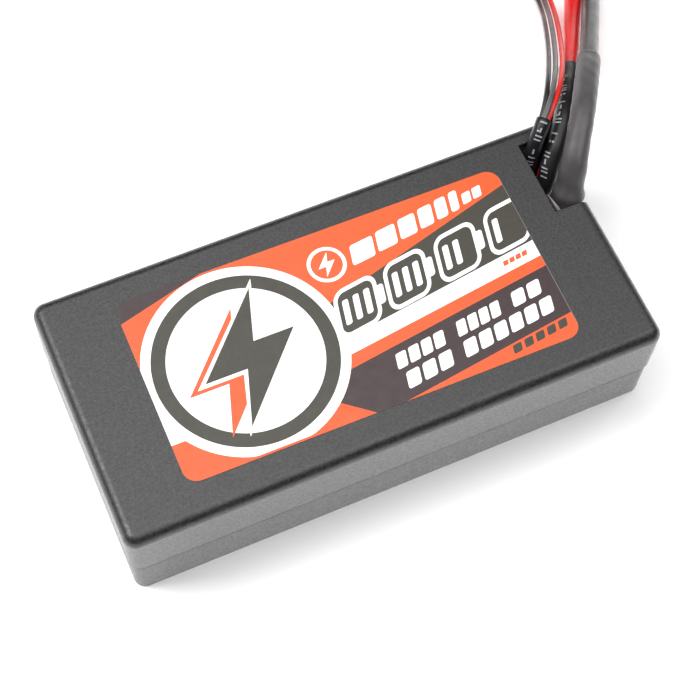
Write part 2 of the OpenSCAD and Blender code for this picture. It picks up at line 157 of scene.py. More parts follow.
def catmull_rom(rows, steps=24):
    """Centripetal Catmull-Rom curve through rows, whose first three columns are a place."""
    first = 2 * rows[:1] - rows[1:2]
    last = 2 * rows[-1:] - rows[-2:-1]
    p = np.vstack([first, rows, last])
    made = []
    for i in range(1, len(p) - 2):
        a, b, c, d = p[i - 1 : i + 3]
        knots = [0.0]
        for x, y in ((a, b), (b, c), (c, d)):
            knots.append(knots[-1] + math.sqrt(np.linalg.norm(y[:3] - x[:3])))
        t0, t1, t2, t3 = knots
        for t in np.linspace(t1, t2, steps, endpoint=False):
            ab = (t1 - t) / (t1 - t0) * a + (t - t0) / (t1 - t0) * b
            bc = (t2 - t) / (t2 - t1) * b + (t - t1) / (t2 - t1) * c
            cd = (t3 - t) / (t3 - t2) * c + (t - t2) / (t3 - t2) * d
            abc = (t2 - t) / (t2 - t0) * ab + (t - t0) / (t2 - t0) * bc
            bcd = (t3 - t) / (t3 - t1) * bc + (t - t1) / (t3 - t1) * cd
            made.append((t2 - t) / (t2 - t1) * abc + (t - t1) / (t2 - t1) * bcd)
    made.append(rows[-1])
    return np.array(made)


def even(rows, step):
    """Rows resampled so that their places are evenly spaced, about step apart."""
    gaps = np.linalg.norm(np.diff(rows[:, :3], axis=0), axis=1)
    s = np.concatenate([[0], np.cumsum(gaps)])
    count = int(round(s[-1] / step)) + 1
    wanted = np.linspace(0, s[-1], count)
    return np.column_stack([np.interp(wanted, s, rows[:, k]) for k in range(rows.shape[1])])


def link(name, mesh, material=None):
    piece = bpy.data.objects.new(name, mesh)
    SCENE.collection.objects.link(piece)
    if material is not None:
        mesh.materials.append(material)
    return piece


def mesh_piece(name, points, faces, material=None, uvs=None, smooth=True):
    """A mesh object from points in mm. uvs gives one (u, v) for each face corner."""
    mesh = bpy.data.meshes.new(name)
    mesh.from_pydata([[MM * float(x) for x in p] for p in points], [], faces)
    if uvs is not None:
        layer = mesh.uv_layers.new(name="along")
        layer.data.foreach_set("uv", np.array(uvs, np.float32).ravel())
    mesh.polygons.foreach_set("use_smooth", [smooth] * len(mesh.polygons))
    mesh.update()
    return link(name, mesh, material)


def round_section(radius):
    return lambda s, turn: radius


def tube(name, run, ends, section, sides, material, bore=None):
    """A tube along a run between two distances. section(s, turn) gives its radius, and bore(s, turn)
    that of its hollow, or None for a solid cord. The turn is 0 on the left and 90 degrees on top."""
    low, high = run.part(*ends)
    turns = [2 * math.pi * k / sides for k in range(sides)]
    points, faces, uvs = [], [], []

    def rings(radius):
        start = len(points)
        for i in range(low, high):
            for turn in turns:
                out = math.cos(turn) * run.left[i] + math.sin(turn) * run.up[i]
                points.append(run.place[i] + radius(run.s[i], turn) * out)
        return start

    def corner(i, k, around):
        return (k / sides * around * MM, run.s[low + i] * MM)

    def skin(start, inward, around):
        for i in range(high - low - 1):
            for k in range(sides):
                m = (k + 1) % sides
                a = start + i * sides
                quad = [a + k, a + m, a + sides + m, a + sides + k]
                spots = [corner(i, k, around), corner(i, k + 1, around)]
                spots += [corner(i + 1, k + 1, around), corner(i + 1, k, around)]
                if inward:
                    quad.reverse()
                    spots.reverse()
                faces.append(quad)
                uvs.extend(spots)

    around = 2 * math.pi * section(0.5 * (ends[0] + ends[1]), 0)
    outer = rings(section)
    skin(outer, False, around)
    last = (high - low - 1) * sides
    if bore is None:
        faces.append([outer + k for k in reversed(range(sides))])
        faces.append([outer + last + k for k in range(sides)])
        uvs.extend([(0, 0)] * (2 * sides))
    else:
        inner = rings(bore)
        skin(inner, True, around)
        for k in range(sides):
            m = (k + 1) % sides
            faces.append([outer + m, outer + k, inner + k, inner + m])
            faces.append([outer + last + k, outer + last + m, inner + last + m, inner + last + k])
        uvs.extend([(0, 0)] * (8 * sides))
    return mesh_piece(name, points, faces, material, uvs)


negative_run = Run(NEGATIVE_ROUTE)
positive_run = Run(POSITIVE_ROUTE)
balance_run = Run(BALANCE_ROUTE)


# ---- materials -----------------------------------------------------------------------


def node(tree, kind, **values):
    made = tree.nodes.new(kind)
    for key, value in values.items():
        setattr(made, key, value)
    return made


def grain(tree, vector, scale, detail=3.0, roughness=0.55):
    """The factor output of a noise texture; scale is in features per metre."""
    noise = node(tree, "ShaderNodeTexNoise")
    noise.inputs["Scale"].default_value = scale
    noise.inputs["Detail"].default_value = detail
    noise.inputs["Roughness"].default_value = roughness
    tree.links.new(vector, noise.inputs["Vector"])
    return noise.outputs["Fac"]


def spread(tree, value, low, high, start=0.3, end=0.7):
    """value from start to end, mapped to low to high."""
    ranged = node(tree, "ShaderNodeMapRange")
    for key, number in (("From Min", start), ("From Max", end), ("To Min", low), ("To Max", high)):
        ranged.inputs[key].default_value = number
    tree.links.new(value, ranged.inputs["Value"])
    return ranged.outputs["Result"]


def blended(tree, factor, first, second):
    """Colour between first and second, which are colours or sockets."""
    mix = node(tree, "ShaderNodeMix", data_type="RGBA")
    tree.links.new(factor, mix.inputs[0])
    for value, socket in ((first, mix.inputs[6]), (second, mix.inputs[7])):
        if isinstance(value, tuple):
            socket.default_value = (*value, 1)
        else:
            tree.links.new(value, socket)
    return mix.outputs[2]


def surface(name, colour, tint, roughness, tint_scale=90.0, tint_edges=(0.3, 0.7), rough_scale=500.0,
            rough_spread=0.06, bumps=((3500.0, 0.006),), streaks=None, dust=0.0,
            dust_colour=(0.55, 0.54, 0.52), metallic=0.0, ior=1.5, glow=0.0):
    """A finished material. bumps are (features per metre, height in mm). streaks are the same, with
    the grain drawn out along a cord's length. dust is the share of the surface with specks on it.
    Closer tint_edges make the change from colour to tint sharper."""
    material = bpy.data.materials.new(name)
    material.use_nodes = True
    tree = material.node_tree
    shader = tree.nodes["Principled BSDF"]
    place = node(tree, "ShaderNodeTexCoord").outputs["Object"]
    mottle = spread(tree, grain(tree, place, tint_scale), 0.0, 1.0, *tint_edges)
    paint = blended(tree, mottle, colour, tint)
    if dust:
        specks = spread(tree, grain(tree, place, 2600.0, 1.0), 0.0, 1.0, 0.82 - dust, 0.86 - dust)
        paint = blended(tree, specks, paint, dust_colour)
    tree.links.new(paint, shader.inputs["Base Color"])
    rough = grain(tree, place, rough_scale, 4.0)
    low, high = roughness - rough_spread, roughness + rough_spread
    tree.links.new(spread(tree, rough, low, high), shader.inputs["Roughness"])
    heights = [(grain(tree, place, scale), height) for scale, height in bumps]
    if streaks is not None:
        drawn = node(tree, "ShaderNodeMapping")
        drawn.inputs["Scale"].default_value = (1.0, 0.08, 1.0)
        tree.links.new(node(tree, "ShaderNodeUVMap", uv_map="along").outputs["UV"],
                       drawn.inputs["Vector"])
        heights.append((grain(tree, drawn.outputs["Vector"], streaks[0]), streaks[1]))
    normal = None
    for value, height in heights:
        bump = node(tree, "ShaderNodeBump")
        bump.inputs["Strength"].default_value = 1.0
        bump.inputs["Distance"].default_value = height * MM
        tree.links.new(value, bump.inputs["Height"])
        if normal is not None:
            tree.links.new(normal, bump.inputs["Normal"])
        normal = bump.outputs["Normal"]
    if normal is not None:
        tree.links.new(normal, shader.inputs["Normal"])
    shader.inputs["Metallic"].default_value = metallic
    shader.inputs["IOR"].default_value = ior
    if glow:
        shader.inputs["Emission Color"].default_value = (1, 1, 1, 1)
        shader.inputs["Emission Strength"].default_value = glow
    return material


CASE_BUMPS = ((2600.0, 0.030), (1200.0, 0.008))
CORD_BUMPS = ((1800.0, 0.01),)
CORD_STREAKS = (2600.0, 0.02)
WIRE_BUMPS = ((2500.0, 0.006),)
WIRE_STREAKS = (2600.0, 0.012)
SLEEVE_STREAKS = (1500.0, 0.05)
METAL_BUMPS = ((4000.0, 0.004), (900.0, 0.006))
INK_BUMPS = ((2600.0, 0.0025), (300.0, 0.004))


def case_plastic(name, roughness):
    return surface(name, (0.004, 0.004, 0.0045), (0.020, 0.020, 0.0205), roughness,
                   tint_scale=2400.0, tint_edges=(0.38, 0.62), rough_scale=1900.0,
                   rough_spread=0.08, bumps=CASE_BUMPS, ior=1.54)


case_upper = case_plastic("case_upper", 0.41)
case_lower = case_plastic("case_lower", 0.43)
black_silicone = surface("black_silicone", (0.012, 0.012, 0.013), (0.018, 0.018, 0.019), 0.40,
                         bumps=CORD_BUMPS, streaks=CORD_STREAKS)
red_silicone = surface("red_silicone", (0.60, 0.012, 0.010), (0.48, 0.010, 0.008), 0.38,
                       bumps=CORD_BUMPS, streaks=CORD_STREAKS)
shrink_sleeve = surface("shrink_sleeve", (0.050, 0.046, 0.048), (0.066, 0.061, 0.063), 0.50,
                        tint_scale=420.0, bumps=((900.0, 0.02),), streaks=SLEEVE_STREAKS, dust=0.03)
printed_sleeve = surface("printed_sleeve", (0.007, 0.007, 0.008), (0.012, 0.012, 0.013), 0.40,
                         tint_scale=420.0, bumps=((1200.0, 0.015),), streaks=(1800.0, 0.04), ior=1.36)
# painted shade: a near-black, dull sheet that stands for the shadow between the leads in the bay
shade_backing_black = surface("shade_backing_black", (0.006, 0.005, 0.005), (0.012, 0.008, 0.008), 0.7,
                        bumps=((1200.0, 0.02),), streaks=SLEEVE_STREAKS, ior=1.2)
sleeve_ink = surface("sleeve_ink", (0.36, 0.37, 0.40), (0.22, 0.23, 0.25), 0.5, tint_scale=1500.0,
                     bumps=((3000.0, 0.004),))
# painted highlight: the fold is the same sleeve, coloured lighter so that it looks lit
fold_painted_highlight = surface("fold_painted_highlight", (0.15, 0.145, 0.145), (0.19, 0.185, 0.185), 0.45,
                    bumps=((900.0, 0.02),), streaks=SLEEVE_STREAKS)
black_wire = surface("black_wire", (0.014, 0.014, 0.015), (0.022, 0.022, 0.023), 0.34,
                     bumps=WIRE_BUMPS, streaks=WIRE_STREAKS)
grey_wire = surface("grey_wire", (0.075, 0.077, 0.076), (0.10, 0.10, 0.10), 0.34,
                    bumps=WIRE_BUMPS, streaks=WIRE_STREAKS)
red_wire = surface("red_wire", (0.60, 0.020, 0.012), (0.50, 0.016, 0.010), 0.34,
                   bumps=WIRE_BUMPS, streaks=WIRE_STREAKS)

INK_IOR = 1.43                  # the label's film is a little less glossy than the case


def label_ink(name, colour, tint, tint_scale=90.0):
    return surface(name, colour, tint, 0.34, tint_scale=tint_scale, bumps=INK_BUMPS, ior=INK_IOR)


label_orange = label_ink("label_orange", (0.70, 0.088, 0.013), (0.66, 0.080, 0.012))
label_white = label_ink("label_white", (0.90, 0.90, 0.89), (0.86, 0.86, 0.85))
label_dark = label_ink("label_dark", (0.033, 0.030, 0.020), (0.041, 0.037, 0.026), 1800.0)
label_brown = label_ink("label_brown", (0.028, 0.013, 0.014), (0.036, 0.018, 0.019), 1800.0)
label_rim = surface("label_rim", (0.20, 0.17, 0.16), (0.15, 0.13, 0.12), 0.4, bumps=INK_BUMPS)

red_nylon = surface("red_nylon", (0.42, 0.016, 0.014), (0.48, 0.022, 0.018), 0.42,
                    bumps=((2400.0, 0.01), (600.0, 0.01)))
white_nylon = surface("white_nylon", (0.76, 0.75, 0.69), (0.70, 0.69, 0.62), 0.44,
                      bumps=((2400.0, 0.008), (600.0, 0.01)))
gilt_contact = surface("gilt_contact", (0.86, 0.60, 0.22), (0.80, 0.54, 0.19), 0.26,
                       bumps=METAL_BUMPS, metallic=1.0)
tinned_contact = surface("tinned_contact", (0.72, 0.70, 0.66), (0.62, 0.60, 0.56), 0.32,
                         bumps=METAL_BUMPS, metallic=1.0)
black_boot = surface("black_boot", (0.014, 0.014, 0.015), (0.022, 0.022, 0.023), 0.38,
                     bumps=((1200.0, 0.02),), streaks=SLEEVE_STREAKS)
red_boot = surface("red_boot", (0.46, 0.014, 0.012), (0.38, 0.012, 0.010), 0.38,
                   bumps=((1200.0, 0.02),), streaks=SLEEVE_STREAKS)

pouch_foil = surface("pouch_foil", (0.66, 0.67, 0.68), (0.58, 0.59, 0.60), 0.36, tint_scale=200.0,
                     bumps=((700.0, 0.05), (160.0, 0.12)), metallic=1.0)
bond_tape = surface("bond_tape", (0.86, 0.83, 0.74), (0.78, 0.75, 0.65), 0.6,
                    bumps=((1500.0, 0.02),))
foam = surface("foam", (0.030, 0.030, 0.032), (0.055, 0.055, 0.058), 0.9, tint_scale=1600.0,
               bumps=((2200.0, 0.12),))
nickel_tab = surface("nickel_tab", (0.64, 0.61, 0.54), (0.56, 0.53, 0.47), 0.34,
                     bumps=METAL_BUMPS, metallic=1.0)
aluminium_tab = surface("aluminium_tab", (0.76, 0.77, 0.78), (0.68, 0.69, 0.70), 0.38,
                        bumps=METAL_BUMPS, metallic=1.0)
board_laminate = surface("board_laminate", (0.010, 0.13, 0.045), (0.016, 0.17, 0.06), 0.35,
                         bumps=((1300.0, 0.02),))
copper = surface("copper", (0.80, 0.42, 0.24), (0.70, 0.36, 0.20), 0.34, bumps=METAL_BUMPS,
                 metallic=1.0)
amber_film = surface("amber_film", (0.62, 0.26, 0.03), (0.52, 0.21, 0.025), 0.25,
                     bumps=((400.0, 0.02),))
solder = surface("solder", (0.62, 0.63, 0.65), (0.52, 0.53, 0.55), 0.28, bumps=((900.0, 0.06),),
                 metallic=1.0)
black_adhesive = surface("black_adhesive", (0.012, 0.012, 0.012), (0.020, 0.020, 0.020), 0.5,
                         bumps=((500.0, 0.15),))

# ---- pieces refined from the CAD nodes -----------------------------------------------


def stand_in(piece, slot, *replaced):
    """Marks a piece as riding on the pack, in place of CAD nodes. slot is not used."""
    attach(piece, "root")
    if replaced:
        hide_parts(*replaced)
    return piece


def settled(piece):
    """The piece with its modifiers applied."""
    graph = bpy.context.evaluated_depsgraph_get()
    mesh = bpy.data.meshes.new_from_object(piece.evaluated_get(graph), depsgraph=graph)
    piece.modifiers.clear()
    mesh.name = piece.data.name
    piece.data = mesh
    return piece


PARTING_Z = 10                  # where the case halves meet
TRAY_HALF = (47.75, 23.0)       # the lower half is set in from the upper one
TRAY_R = 2.0
RIM_NEAR = 0.02                 # how near to the parting plane a point of the rim lies
EDGE_NEAR = 0.1                 # how near to the tray's outline a point of its outer edge lies


def opened_rim(build, shift, cut, inward):
    """Opens the joint of the case halves: the rim moves up by shift, and the lower half's outer edge
    moves inward, above the height cut. All in mm."""
    if inward:
        everything = build.verts[:] + build.edges[:] + build.faces[:]
        bmesh.ops.bisect_plane(build, geom=everything, plane_co=(0, 0, MM * cut), plane_no=(0, 0, 1))
    for vert in build.verts:
        if abs(vert.co.z - MM * PARTING_Z) > MM * RIM_NEAR:
            continue
        vert.co.z += shift * MM
        past = [max(abs(vert.co[k]) - MM * (TRAY_HALF[k] - TRAY_R), 0) for k in (0, 1)]
        reach = math.hypot(*past)
        if inward and reach > MM * (TRAY_R - EDGE_NEAR):
            for k in (0, 1):
                vert.co[k] -= math.copysign(past[k] / reach * inward * MM, vert.co[k])


def refined(name, source, material, slot, width, segments=3, sharp=35, rim=None):
    """A copy of a CAD node with softened edges, width mm wide, which stands for the node. rim holds
    what opened_rim takes."""
    build = bmesh.new()
    build.from_mesh(nodes[source].data)
    bmesh.ops.remove_doubles(build, verts=build.verts, dist=0.002 * MM)
    bmesh.ops.dissolve_limit(build, angle_limit=math.radians(1), verts=build.verts,
                             edges=build.edges)
    if rim is not None:
        opened_rim(build, *rim)
    mesh = bpy.data.meshes.new(name)
    build.to_mesh(mesh)
    build.free()
    mesh.polygons.foreach_set("use_smooth", [True] * len(mesh.polygons))
    piece = link(name, mesh, material)
    bevel = piece.modifiers.new("soft_edges", "BEVEL")
    bevel.width = width * MM
    bevel.segments = segments
    bevel.limit_method = "ANGLE"
    bevel.angle_limit = math.radians(sharp)
    bevel.use_clamp_overlap = False
    normals = piece.modifiers.new("normals", "WEIGHTED_NORMAL")
    normals.keep_sharp = True
    return stand_in(settled(piece), slot, source)


refined("upper_case_shell", "top_case", case_upper, "case_upper", 0.16, rim=(0.2, 0, 0))
refined("lower_case_shell", "bottom_case", case_lower, "case_lower", 0.16, rim=(-0.12, 9.35, 0.34))
plug_body = refined("plug_body", "plug_housing", red_nylon, "red_nylon", 0.2)
connector_body = refined("connector_body", "balance_housing", white_nylon, "white_nylon", 0.14)
connector_contacts = refined("connector_contacts", "balance_contacts", tinned_contact,
                             "tinned_contact", 0.06, segments=2)
negative_blade = refined("negative_blade", "negative_contact", gilt_contact, "gilt_contact", 0.18)
positive_blade = refined("positive_blade", "positive_contact", gilt_contact, "gilt_contact", 0.18)

for source, material in (
    ("lower_cell", pouch_foil), ("upper_cell", pouch_foil), ("cell_bond_tape", bond_tape),
    ("bottom_foam_pad", foam), ("top_foam_pad", foam), ("end_foam_block", foam),
    ("lower_negative_tab", nickel_tab), ("upper_negative_tab", nickel_tab),
    ("lower_positive_tab", aluminium_tab), ("upper_positive_tab", aluminium_tab),
    ("tab_board", board_laminate), ("board_pads", copper), ("board_insulator", amber_film),
    ("tab_solder", solder), ("lead_solder", solder), ("lead_adhesive", black_adhesive),
):
    nodes[source].data.materials.clear()
    nodes[source].data.materials.append(material)

# ---- label ---------------------------------------------------------------------------

LABEL_SIZE = (70.5, 34.8)
LABEL_R = 2.5
LABEL_TURN = math.radians(-0.4)
LABEL_LOW, LABEL_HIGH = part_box("top_label")
INKS = [label_orange, label_dark, label_brown, label_white, label_rim]
ORANGE, DARK, BROWN, WHITE, RIM = range(len(INKS))
DISC = (-18.5, -0.35)           # middle of the round emblem
DISC_R = 17.35
DISC_FLAT = -17.0               # the emblem's white edge ends here, just inside the label


def arc(x, y, r, start, end, steps):
    """Points on an arc, its angles in degrees."""
    turns = [math.radians(start + (end - start) * k / steps) for k in range(steps + 1)]
    return [(x + r * math.cos(t), y + r * math.sin(t)) for t in turns]


def disc(x, y, r, steps=120):
    return arc(x, y, r, 0, 360, steps)[:-1]


def rounded(length, width, r, steps=8):
    """A rectangle about the origin with round corners."""
    x, y = length / 2 - r, width / 2 - r
    points = []
    for k, (sx, sy) in enumerate(((1, 1), (-1, 1), (-1, -1), (1, -1))):
        points += arc(sx * x, sy * y, r, 90 * k, 90 * k + 90, steps)
    return points


def leaning(points, x, y, slope, lean=0.22):
    """Points leaned to the right and laid on a rising line, about (x, y)."""
    return [(x + px + lean * py, y + py + slope * (px + lean * py)) for px, py in points]


def band(upper, lower, left=-10, right=36):
    """The strip between two lines, each given by its height at x = 0 and its slope."""
    return [(left, upper[0] + upper[1] * left), (right, upper[0] + upper[1] * right),
            (right, lower[0] + lower[1] * right), (left, lower[0] + lower[1] * left)]


def blocks(start, end, height, line, count, share=0.8, lean=0.22):
    """A row of slanted blocks with round corners, along a line from x = start to x = end."""
    pitch = (end - start) / count
    made = []
    for k in range(count):
        x = start + pitch * (k + 0.5)
        width = pitch * share
        made.append(leaning(rounded(width, height, min(width, height) * 0.18, 4), x,
                            line[0] + line[1] * x, line[1], lean))
    return made


def turns_left(points):
    """Whether a closed outline runs counterclockwise."""
    pairs = zip(points, points[1:] + points[:1])
    return sum(a[0] * b[1] - b[0] * a[1] for a, b in pairs) > 0


def grown(points, distance):
    """A closed outline moved outwards by distance, with its corners kept."""
    count = len(points)
    sign = 1 if turns_left(points) else -1
    made = []
    for k in range(count):
        before, here, after = (Vector(points[j % count]) for j in (k - 1, k, k + 1))
        a = (here - before).normalized()
        b = (after - here).normalized()
        out = Vector((a.y + b.y, -a.x - b.x)) * sign
        out /= out.length
        reach = distance / max(0.4, out.dot(Vector((a.y, -a.x)) * sign))
        made.append(tuple(here + out * reach))
    return made


def bolt(x, y, size=1.0):
    shape = ((4.2, 11.2), (-8.2, -1.9), (-1.2, -1.9), (-4.2, -11.2), (8.2, 2.2), (1.4, 2.2))
    return [(x + size * px, y + size * py) for px, py in shape]


def battery_icon(x, y, slope, bars):
    """An outlined battery symbol with some charge bars."""
    body_l, body_h, line = 8.3, 8.6, 0.75
    layers = [(leaning(rounded(2.2, 3.4, 0.5, 4), x + body_l / 2, y + slope * body_l / 2, slope), WHITE)]
    layers.append((leaning(rounded(body_l, body_h, 2.1), x, y, slope), WHITE))
    layers.append((leaning(rounded(body_l - 2 * line, body_h - 2 * line, 1.4), x, y, slope), DARK))
    for k in range(bars):
        bar_x = -2.05 + 2.05 * k
        layers.append((leaning(rounded(1.15, 4.4, 0.35, 4), x + bar_x, y + slope * bar_x, slope), WHITE))
    return layers


def grounds():
    """The coloured areas below the emblem and the rows of print."""
    corner, corner_rise = 22.44, 0.256
    foot, foot_rise = -17.8, 0.137
    return [
        (rounded(*LABEL_SIZE, LABEL_R), ORANGE),
        ([(-36, corner - 36 * corner_rise), (-19.3, 17.5), (-19.3, 19), (-36, 19)], BROWN),
        (band((4.35, 0.27), (-3.0, 0.14)), DARK),
        (band((-3.0, 0.14), (-5.9, 0.131)), WHITE),
        ([(-10, -9.57), (36, -3.26), (36, foot + 36 * foot_rise), (-1.5, -18), (-2.0, -17.7),
          (-10, -11.3)], BROWN),
    ]


def emblem():
    """The round emblem: a ring about a bolt, which has an echo behind it."""
    x, y = DISC
    main_bolt = bolt(x + 0.9, y + 0.3, 1.06)
    return [
        ([(px, max(py, DISC_FLAT)) for px, py in disc(x, y, DISC_R)], WHITE),
        ([(-36, -10.1), (-32.6, -10.1), (-32.6, 4.2), (-36, 4.2)], WHITE),
        (disc(x, y, 15.65), DARK),
        (disc(x, y, 13.2), WHITE),
        (bolt(x - 3.0, y - 1.2, 0.98), ORANGE),
        (grown(main_bolt, 0.7), WHITE),
        (main_bolt, DARK),
    ]


def upper_row():
    """A small emblem and a row of slanted blocks above the dark strip."""
    x, y = 0.7, 10.9
    layers = [(disc(x, y, 3.4, 48), WHITE), (disc(x, y, 2.75, 48), ORANGE), (bolt(x, y, 0.2), WHITE)]
    at, height, rise, gap = 5.2, 3.7, 0.16, 0.7
    for width in (4.4, 3.8, 3.3, 2.7, 2.2, 1.6):
        middle = at + width / 2
        shape = rounded(width, height, 0.5, 4)
        layers.append((leaning(shape, middle, 8.05 + rise * middle + height / 2, 0.12), WHITE))
        at += width + gap
    return layers + [(shape, WHITE) for shape in blocks(27.2, 31.4, 2.0, (9.35, rise), 2)]


def middle_row():
    """Battery symbols on the dark strip, and small blocks under them."""
    layers = []
    for x, y, bars in ((2.4, 1.6, 3), (12.2, 3.2, 3), (22.3, 4.7, 2), (32.4, 6.2, 1)):
        layers += battery_icon(x, y, 0.15, bars)
    return layers + [(shape, ORANGE) for shape in blocks(28.4, 33.4, 0.9, (-4.3, 0.135), 4)]


def lower_rows():
    """Blocks where a specification would stand, and a row of smaller ones under them."""
    rise = 0.137
    layers = []
    for start, end, count in ((4, 13.7, 4), (15.8, 24.6, 4), (26.6, 32.8, 2)):
        layers += [(shape, WHITE) for shape in blocks(start, end, 2.7, (-10.95, rise), count)]
    for start, end, count in ((4.2, 13.5, 3), (15.3, 33.3, 6)):
        layers += [(shape, WHITE) for shape in blocks(start, end, 2.9, (-14.75, rise), count)]
    return layers + [(shape, DARK) for shape in blocks(22.8, 34.0, 1.5, (-18.9, rise), 5, 0.74)]


def label_layers():
    """Outlines with their inks, from the lowest to the highest."""
    edge, strip = LABEL_SIZE[0] / 2, 0.1
    worn_edge = [(edge - strip, -18), (edge + strip, -18), (edge + strip, 18), (edge - strip, 18)]
    return grounds() + emblem() + upper_row() + middle_row() + lower_rows() + [(worn_edge, RIM)]


def label_mesh():
    """One closed sheet, its upper face divided into the printed shapes."""
    layers = label_layers()
    verts, faces = [], []
    for outline, ink in layers:
        faces.append(list(range(len(verts), len(verts) + len(outline))))
        verts += [Vector(p) for p in (outline if turns_left(outline) else outline[::-1])]
    places, _, tiles, _, _, sources = geometry.delaunay_2d_cdt(verts, [], faces, 1, 1e-4, True)
    kept = [(tile, max(source)) for tile, source in zip(tiles, sources) if source and 0 in source]
    bottom, top = LABEL_LOW[2], LABEL_HIGH[2]
    cos, sin = math.cos(LABEL_TURN), math.sin(LABEL_TURN)
    build = bmesh.new()
    spots = [(MM * (cos * p.x - sin * p.y), MM * (sin * p.x + cos * p.y)) for p in places]
    upper = [build.verts.new((x, y, top)) for x, y in spots]
    lower = [build.verts.new((x, y, bottom)) for x, y in spots]
    for tile, layer in kept:
        face = build.faces.new([upper[k] for k in tile])
        face.material_index = layers[layer][1]
        build.faces.new([lower[k] for k in reversed(tile)])
    rim = [edge for edge in build.edges if edge.is_boundary and edge.verts[0].co.z > 0.5 * (top + bottom)]
    pair = dict(zip(upper, lower))
    for edge in rim:
        a, b = (loop.vert for loop in (edge.link_loops[0], edge.link_loops[0].link_loop_next))
        side = build.faces.new([b, a, pair[a], pair[b]])
        side.material_index = WHITE
    bmesh.ops.delete(build, geom=[v for v in build.verts if not v.link_faces], context="VERTS")
    bmesh.ops.recalc_face_normals(build, faces=build.faces)
    mesh = bpy.data.meshes.new("printed_label")
    build.to_mesh(mesh)
    build.free()
    for ink in INKS:
        mesh.materials.append(ink)
    return link("printed_label", mesh)


stand_in(label_mesh(), "label_vinyl", "top_label")

# ---- leads, wires and sleeves --------------------------------------------------------

NEGATIVE_R = 2.2
POSITIVE_R = 2.1
BALANCE_R = 1.375
SLEEVE_T = 0.2
BAY_HIGH = (48, 19.75, 22)      # the bay's open end, its back wall and that wall's top
FRONT = math.radians(90)        # the turn that faces up and to the front


def step_between(value, low, high):
    """0 below low, 1 above high, and smooth between."""
    t = min(1.0, max(0.0, (value - low) / (high - low)))
    return t * t * (3 - 2 * t)


def bell(value, width):
    return math.exp(-(value / width) ** 2)


def turn_from(turn, middle):
    """The turn measured from middle, from minus to plus half a circle."""
    return (turn - middle + math.pi) % (2 * math.pi) - math.pi


def sleeve_ends(run, route, ends):
    return run.nearest(route[ends[0]]), run.nearest(route[ends[1]])


def whole(run):
    return 0.0, run.s[-1] + 1


def sheet_faces(count, row):
    """Faces of a closed sheet. Its points are an outer grid, with count rows of row points, and then
    an inner grid like it."""
    inner = count * row
    last = inner - row
    faces = []
    for first in range(0, last, row):
        end = first + row - 1
        for k in range(first, end):
            faces.append((k, k + 1, k + row + 1, k + row))
            faces.append((inner + k + row, inner + k + row + 1, inner + k + 1, inner + k))
        faces.append((first, first + row, inner + first + row, inner + first))
        faces.append((end, inner + end, inner + end + row, end + row))
    for k in range(row - 1):
        faces.append((k + 1, k, inner + k, inner + k + 1))
        faces.append((last + k, last + k + 1, inner + last + k + 1, inner + last + k))
    return faces


def open_sleeve(name, run, ends, radius, thickness, cover, sides, material):
    """A sleeve that can be open along its far side. cover(s) gives the middle and the half width of
    the turn that it spans at distance s."""
    low, high = run.part(*ends)
    points, spots = [], []
    for depth in (0, thickness):
        for i in range(low, high):
            middle, half = cover(run.s[i])
            for k in range(sides + 1):
                turn = middle - half + 2 * half * k / sides
                out = math.cos(turn) * run.left[i] + math.sin(turn) * run.up[i]
                points.append(run.place[i] + (radius(run.s[i], turn) - depth) * out)
                spots.append((k / sides * 2 * math.pi * POSITIVE_R * MM, run.s[i] * MM))
    faces = sheet_faces(high - low, sides + 1)
    uvs = [spots[index] for face in faces for index in face]
    return mesh_piece(name, points, faces, material, uvs)


MARK_HEIGHT = 1.25
MARK_LIFT = 0.03                # the ink stands this far above the sleeve, and reaches as far into it
MARK_GAP = 0.35


def printed_marks(name, run, radius, middle, pattern, start, material):
    """Plain marks printed on a sleeve from distance start on. The pattern has one entry for each mark:
    its strokes, as shares of the mark's length and of its height, and the mark's length in mm.
    middle(s) gives the turn that the row of marks follows."""
    rows, columns = 4, 5
    points, faces = [], []
    s = start
    for strokes, length in pattern:
        for x0, x1, y0, y1 in strokes:
            for face in sheet_faces(rows + 1, columns + 1):
                faces.append([len(points) + index for index in face])
            for level in (MARK_LIFT, -MARK_LIFT):
                for i in range(rows + 1):
                    along = s + length * (x0 + (x1 - x0) * i / rows)
                    place, left, up = run.at(along)
                    for k in range(columns + 1):
                        across = MARK_HEIGHT * (y0 + (y1 - y0) * k / columns)
                        turn = middle(along) + across / radius(along, FRONT)
                        out = math.cos(turn) * left + math.sin(turn) * up
                        points.append(place + (radius(along, turn) + level) * out)
        s += length + MARK_GAP
    return mesh_piece(name, points, faces, material, smooth=False)


# Marks as strokes: (from, to) along the mark, then (from, to) across it
PAIR = (((0.0, 0.24, -0.5, 0.5), (0.62, 0.86, -0.5, 0.5)), 0.95)
DASH = (((0.0, 1.0, -0.12, 0.12),), 0.8)
TALL = (((0.3, 0.62, -0.5, 0.5),), 0.7)
DOTS = (((0.0, 0.4, -0.42, -0.1), (0.0, 0.4, 0.1, 0.42)), 0.8)
STEP = (((0.0, 0.3, -0.5, 0.1), (0.3, 0.75, -0.14, 0.1)), 0.9)
SPACE = ((), 0.7)

negative_lead = tube("negative_lead_silicone", negative_run, whole(negative_run),
                     round_section(LEAD_D / 2), 28, black_silicone)
positive_lead = tube("positive_lead_silicone", positive_run, whole(positive_run),
                     round_section(LEAD_D / 2), 28, red_silicone)
wire_runs = {side: balance_run.beside(side) for side in (-1, 0, 1)}
wires = {}
for side, colour, material in ((1, "black", black_wire), (0, "middle", grey_wire),
                               (-1, "red", red_wire)):
    wires[side] = tube("balance_wire_" + colour + "_insulation", wire_runs[side],
                       whole(wire_runs[side]), round_section(WIRE_D / 2), 14, material)

# The wide sleeve has two soft lobes, and it spreads and puckers where it meets the bay
NECK = negative_run.nearest((46.6, 9.4, 20.4))


